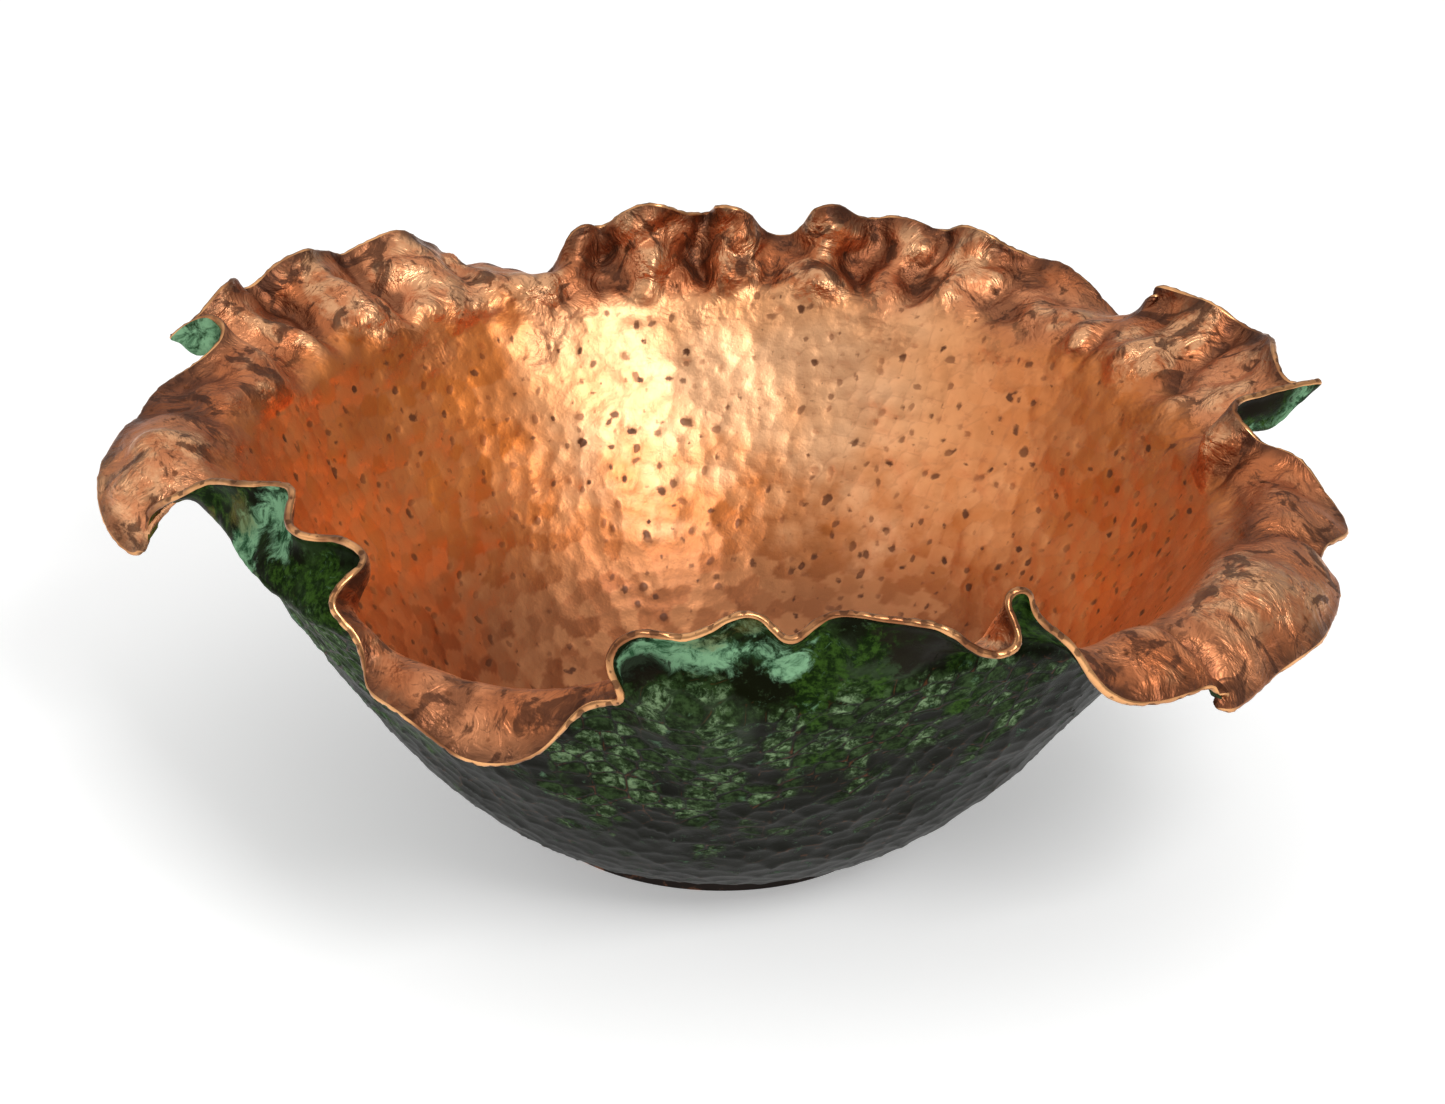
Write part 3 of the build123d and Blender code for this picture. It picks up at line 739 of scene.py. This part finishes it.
def outside_patina():
    s = Shader("patina_outside")
    climb, ridge, mark, hollow = (s.field(n) for n in ("climb", "ridge", "mark", "hollow"))
    turquoise, ochre, moss, soot_and_shade, scales = (s.field(n) for n in PATCHES)
    grain = s.noise(3.0, 6.0, 0.72)
    cloud = s.noise(15, 6.0, 0.65, 0.5)
    crumbs = s.noise(5.5, 8.0, 0.72, 0.6)
    flange = s.step(climb, 0.97, 1.12)
    # charcoal metal with thin rusty lines between the facets
    color = s.mix(s.noise(26, 4.0), CHARCOAL, CHARCOAL_WARM)
    color = s.mix(s.times(mark, 0.35), color, CHARCOAL_PALE)
    worn = s.times(s.step(ridge, 0.30, 0.05), s.step(s.noise(18, 4.0), 0.45, 0.62))
    color = s.mix(s.times(worn, 0.65), color, RUST)
    # green on the flange
    leaf = s.mix(s.step(cloud, 0.42, 0.62), LEAF_DARK, LEAF)
    leaf = s.mix(s.step(grain, 0.54, 0.72, 0.0, 0.55), leaf, LEAF_PALE)
    color = s.mix(flange, color, leaf)
    # folds of the flange: painted highlight on the crests, painted shade in the hollows
    fold_shading = s.times(s.step(climb, 0.86, 1.0), s.step(cloud, 0.30, 0.60))
    color = s.mix(s.times(fold_shading, s.step(hollow, 0.52, 0.80, 0.0, 0.55)), color, FOLD_HIGHLIGHT)
    color = s.mix(s.times(fold_shading, s.step(hollow, 0.45, 0.20, 0.0, 0.70)), color, FOLD_SHADE)
    # green facets below it, rusty between, with a crust of pale flecks where they are thick
    spread = s.ragged(scales, cloud, 2.0)
    green = s.times(s.step(spread, 0.35, 0.80), s.step(ridge, 0.15, 0.9))
    scale_color = s.mix(s.step(grain, 0.4, 0.62), SCALE_DARK, SCALE_GREEN)
    color = s.mix(s.times(green, 0.8), color, scale_color)
    rust = s.times(s.step(spread, 0.15, 0.60), s.step(ridge, 0.16, 0.0))
    color = s.mix(s.times(rust, 0.5), color, RUST_DARK)
    thick = s.times(s.step(spread, 0.6, 1.6), 0.13)
    flecks = s.step(s.plus(s.noise(3.4, 8.0, 0.78, 0.5), thick), 0.50, 0.58)
    chosen = s.step(s.plus(s.plus(mark, cloud), thick), 0.78, 1.10)
    centre = s.times(s.step(ridge, 0.15, 0.8), chosen)
    pale = s.times(s.times(centre, flecks), s.step(spread, 0.42, 0.82))
    fleck_color = s.mix(s.step(grain, 0.4, 0.6), FLECK_GREEN, FLECK_PALE)
    color = s.mix(s.times(pale, 0.75), color, fleck_color)
    # named patches with crumbly outlines
    crumbly = s.swing(crumbs, 2.6)
    deep = s.step(s.plus(moss, crumbly), 0.40, 0.85)
    moss_color = s.mix(s.step(grain, 0.42, 0.62), MOSS_DARK, MOSS_GREEN)
    color = s.mix(s.times(deep, 0.85), color, moss_color)
    mint = s.step(s.plus(turquoise, crumbly), 0.22, 0.80)
    mint_color = s.mix(s.step(crumbs, 0.38, 0.60), MINT_DARK, MINT_PALE)
    color = s.mix(s.times(mint, 0.9), color, mint_color)
    gold = s.step(s.plus(ochre, crumbly), 0.45, 1.0)
    color = s.mix(s.times(gold, 0.55), color, s.mix(grain, OCHRE_DARK, OCHRE_PALE))
    # dark soot patches; the one by the front hump is painted shade
    black = s.step(s.plus(soot_and_shade, crumbly), 0.45, 0.9)
    color = s.mix(s.times(black, 0.92), color, SOOT_AND_SHADE)
    crust = s.calc("MAXIMUM", s.calc("MAXIMUM", pale, mint), s.times(green, 0.6))
    rough = s.plus(s.blend(crust, 0.25, 0.7), s.times(s.noise(5, 3.0), 0.10))
    s.bump((s.noise(2.2, 5.0, 0.65), 0.10), (s.times(crust, crumbs), 0.7))
    matt = s.calc("MAXIMUM", crust, flange)
    s.put(s.surface.inputs["Specular IOR Level"], s.blend(matt, 0.5, 0.2))
    s.surface.inputs["IOR"].default_value = PATINA_IOR
    return s.finish(color, s.blend(crust, 0.06, 0.0), rough)


def bright_edge():
    s = Shader("copper_edge")
    pit = s.field("pit")
    fine = s.noise(3, 4.0)
    copper = s.mix(s.step(s.noise(16, 3.0), 0.35, 0.65), EDGE_DULL, EDGE_BRIGHT)
    dent = s.step(s.ragged(pit, fine, 0.8), 0.25, -0.15)
    color = s.mix(s.times(dent, 0.7), copper, EDGE_DENT)
    rough = s.blend(dent, 0.30, 0.6)
    s.bump((fine, 0.08))
    return s.finish(color, 1.0, rough)


def dark_ring():
    s = Shader("foot_ring_copper")
    base = s.mix(s.noise(14, 4.0), FOOT_DARK, FOOT_BROWN)
    worn = s.step(s.noise(7, 5.0, 0.6), 0.55, 0.68)
    color = s.mix(s.times(worn, 0.8), base, FOOT_RUBBED)
    s.bump((s.noise(4, 3.0), 0.25), (s.noise(1.0, 3.0), 0.05))
    return s.finish(color, 0.8, s.blend(worn, 0.5, 0.34))


def dull_solder():
    s = Shader("brazing_under_patina")
    color = s.mix(s.step(s.noise(5, 5.0), 0.45, 0.65), SOLDER_DARK, SOLDER_BRASSY)
    s.bump((s.noise(1.5, 4.0), 0.2))
    return s.finish(color, 0.7, 0.55)


for make in (outside_patina, inside_copper, bright_edge):
    bowl.data.materials.append(make())
for finish, nodes in (
    (dark_ring(), ("foot_ring",)),
    (dull_solder(), ("ring_seam", "solder_outside", "solder_inside")),
):
    for node in nodes:
        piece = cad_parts[node]
        piece.data.materials.clear()
        piece.data.materials.append(finish)


# ---- stage ----------------------------------------------------------------------
FLOOR_GLOW = 0.36   # the paper is lit a little from behind
FLOOR_REACH = 6.0
PAPER_DULL, PAPER_WHITE = (0.86, 0.86, 0.855), (0.89, 0.89, 0.885)
WORLD_LIGHT = 0.42
# Softboxes: name, place and size in metres, power in watts.
SOFTBOXES = (
    ("key_softbox", (0.55, -0.95, 1.15), (0.5, 0.5), 11),
    ("top_softbox", (-0.2, 0.3, 1.9), (3.2, 3.2), 17),
    ("left_fill", (-1.6, -0.4, 0.9), (0.9, 1.2), 4),
)


def make_floor():
    mesh = bpy.data.meshes.new("floor")
    corners = [(x * FLOOR_REACH, y * FLOOR_REACH, 0) for x, y in ((-1, -1), (1, -1), (1, 1), (-1, 1))]
    mesh.from_pydata(corners, [], [(0, 1, 2, 3)])
    floor = bpy.data.objects.new("floor", mesh)
    bpy.context.scene.collection.objects.link(floor)
    s = Shader("studio_paper")
    floor.data.materials.append(s.finish(s.mix(s.noise(400, 2.0), PAPER_DULL, PAPER_WHITE), 0.0, 0.9))
    s.surface.inputs["Specular IOR Level"].default_value = 0.1
    s.surface.inputs["Emission Color"].default_value = (1, 1, 1, 1)
    s.surface.inputs["Emission Strength"].default_value = FLOOR_GLOW


def area_light(name, place, target, size, power):
    light = bpy.data.lights.new(name, "AREA")
    light.shape = "RECTANGLE"
    light.size, light.size_y = size
    light.energy = power
    holder = bpy.data.objects.new(name, light)
    bpy.context.scene.collection.objects.link(holder)
    holder.location = place
    holder.rotation_euler = (Vector(target) - Vector(place)).to_track_quat("-Z", "Y").to_euler()


make_floor()
centre = (cad_low + cad_high) / 2
for name, place, size, power in SOFTBOXES:
    area_light(name, place, centre, size, power)
world = bpy.data.worlds.new("studio")
world.use_nodes = True
world.node_tree.nodes["Background"].inputs["Color"].default_value = (1, 1, 1, 1)
world.node_tree.nodes["Background"].inputs["Strength"].default_value = WORLD_LIGHT
bpy.context.scene.world = world
bpy.context.scene.view_settings.view_transform = "Standard"

# ---- camera ---------------------------------------------------------------------
CAMERA_ELEVATION = math.radians(25)
CAMERA_ROLL = math.radians(2.3)
CAMERA_DISTANCE = 1.1
CAMERA_LENS = 90.4
CAMERA_SENSOR = 36
AIM_RIGHT = 0.0005
AIM_ABOVE_CENTRE = 0.0146
aim = Vector((AIM_RIGHT, 0.0, centre.z + AIM_ABOVE_CENTRE))
back = Vector((0, -math.cos(CAMERA_ELEVATION), math.sin(CAMERA_ELEVATION)))
level_right = Vector((1, 0, 0))
level_up = back.cross(level_right)
right = level_right * math.cos(CAMERA_ROLL) + level_up * math.sin(CAMERA_ROLL)
up = level_up * math.cos(CAMERA_ROLL) - level_right * math.sin(CAMERA_ROLL)
camera_data = bpy.data.cameras.new("camera")
camera_data.lens = CAMERA_LENS
camera_data.sensor_width = CAMERA_SENSOR
camera = bpy.data.objects.new("camera", camera_data)
bpy.context.scene.collection.objects.link(camera)
turn = Matrix((right, up, back)).transposed().to_4x4()
camera.matrix_world = Matrix.Translation(aim + back * CAMERA_DISTANCE) @ turn
bpy.context.scene.camera = camera
